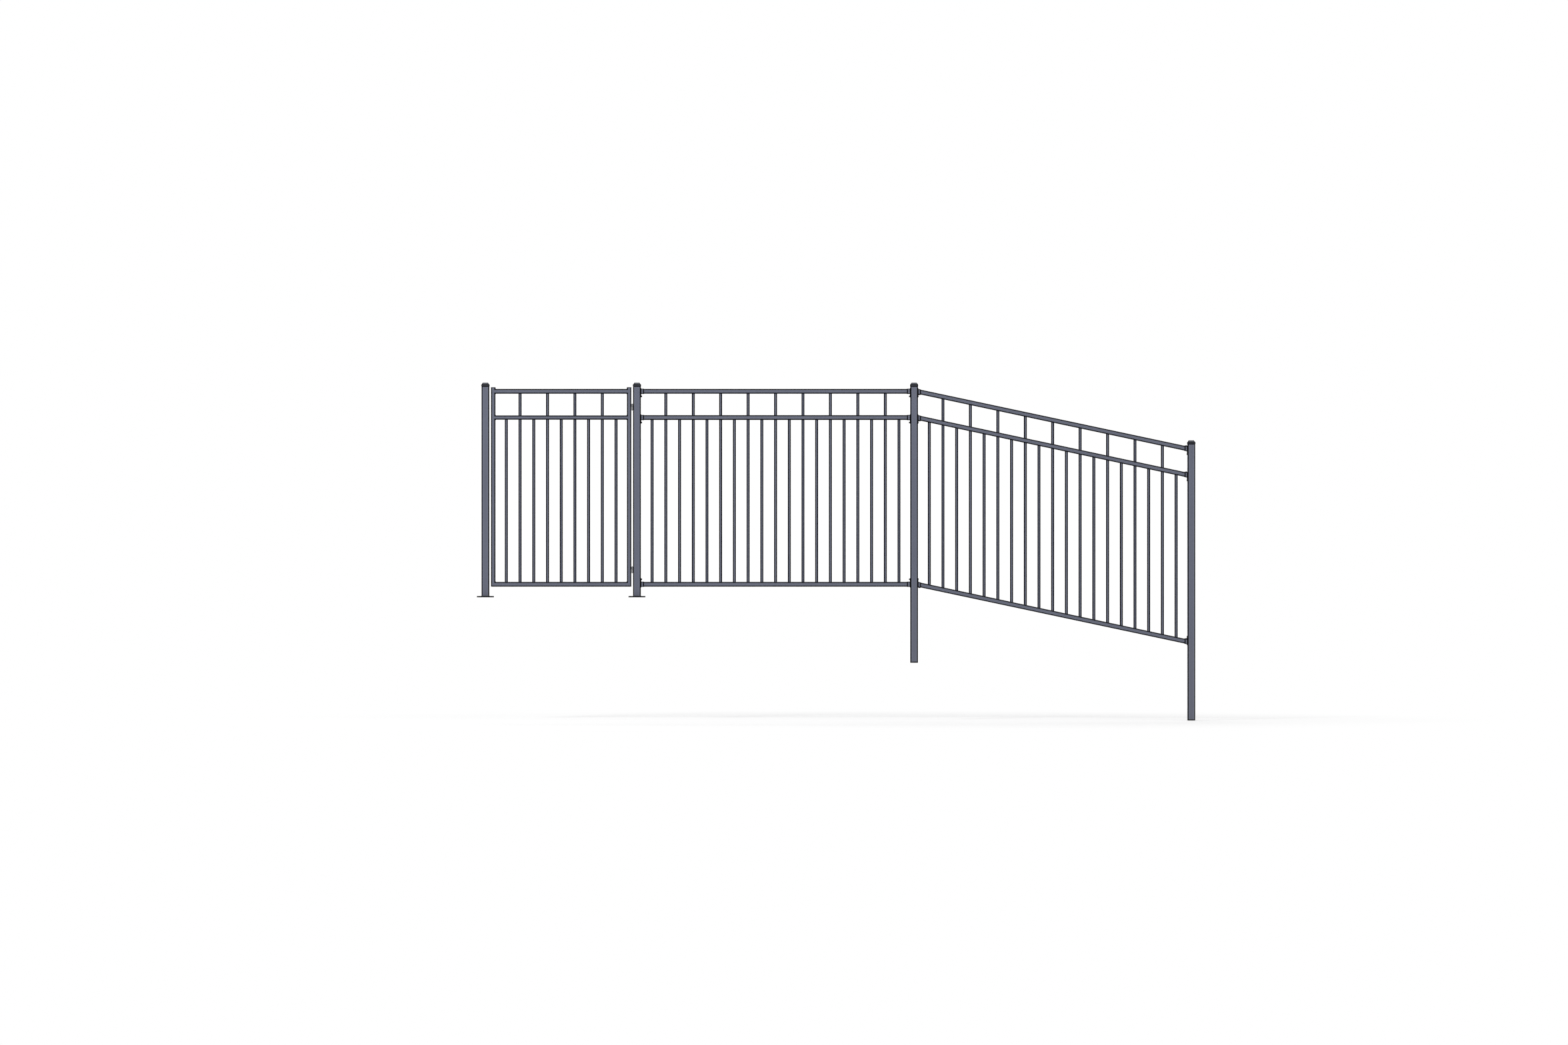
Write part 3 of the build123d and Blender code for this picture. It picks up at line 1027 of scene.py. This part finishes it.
def add_floor():
    """Wide flat floor at the lowest end of the posts."""
    corners = np.array([(-1, -1), (1, -1), (1, 1), (-1, 1)]) * floor_reach
    corners = corners + (object_middle.x, object_middle.y)
    points = np.column_stack([corners, np.full(len(corners), cad_low.z)])
    mesh = bpy.data.meshes.new("floor")
    mesh.from_pydata(points.tolist(), [], [(0, 1, 2, 3)])
    mesh.materials.append(floor_paint())
    floor = bpy.data.objects.new("floor", mesh)
    bpy.context.scene.collection.objects.link(floor)


def add_room():
    """Even white room: full white to the eye, and dimmer as a light."""
    world = bpy.data.worlds.new("white_room")
    bpy.context.scene.world = world
    world.use_nodes = True
    tree = world.node_tree
    background = tree.nodes["Background"].inputs
    background["Color"].default_value = white
    strength = sums(tree, "MULTIPLY_ADD", seen_rays(tree), 1 - room_level, room_level)
    feed(tree, background["Strength"], strength)


def add_lamp(name, place, size, power):
    """Large soft lamp that faces the middle of the object."""
    lamp = bpy.data.lights.new(name, "AREA")
    lamp.shape = "RECTANGLE"
    lamp.size, lamp.size_y = size
    lamp.energy = power
    holder = bpy.data.objects.new(name, lamp)
    holder.location = place
    holder.rotation_euler = (object_middle - Vector(place)).to_track_quat("-Z", "Y").to_euler()
    bpy.context.scene.collection.objects.link(holder)


def add_camera():
    """Camera whose lens takes in the frame's width at its distance."""
    view = bpy.data.cameras.new("front_camera")
    view.sensor_width = sensor_width
    view.lens = sensor_width * camera_distance / frame_width
    view.clip_end = sight_end
    camera = bpy.data.objects.new("front_camera", view)
    camera.location = (camera_aim[0], camera_aim[1] - camera_distance, camera_aim[2])
    camera.rotation_euler = (math.pi / 2, 0.0, 0.0)
    bpy.context.scene.collection.objects.link(camera)
    bpy.context.scene.camera = camera


add_floor()
add_room()
add_lamp("key_lamp", place=(-5.5, -9.0, 7.5), size=(2.4, 1.6), power=640.0)
add_lamp("fill_lamp", place=(8.5, -8.0, 4.0), size=(6.0, 4.0), power=220.0)
add_lamp("back_lamp", place=(1.3, 9.0, 7.0), size=(8.0, 3.0), power=360.0)
add_camera()
bpy.context.scene.view_settings.view_transform = "Standard"
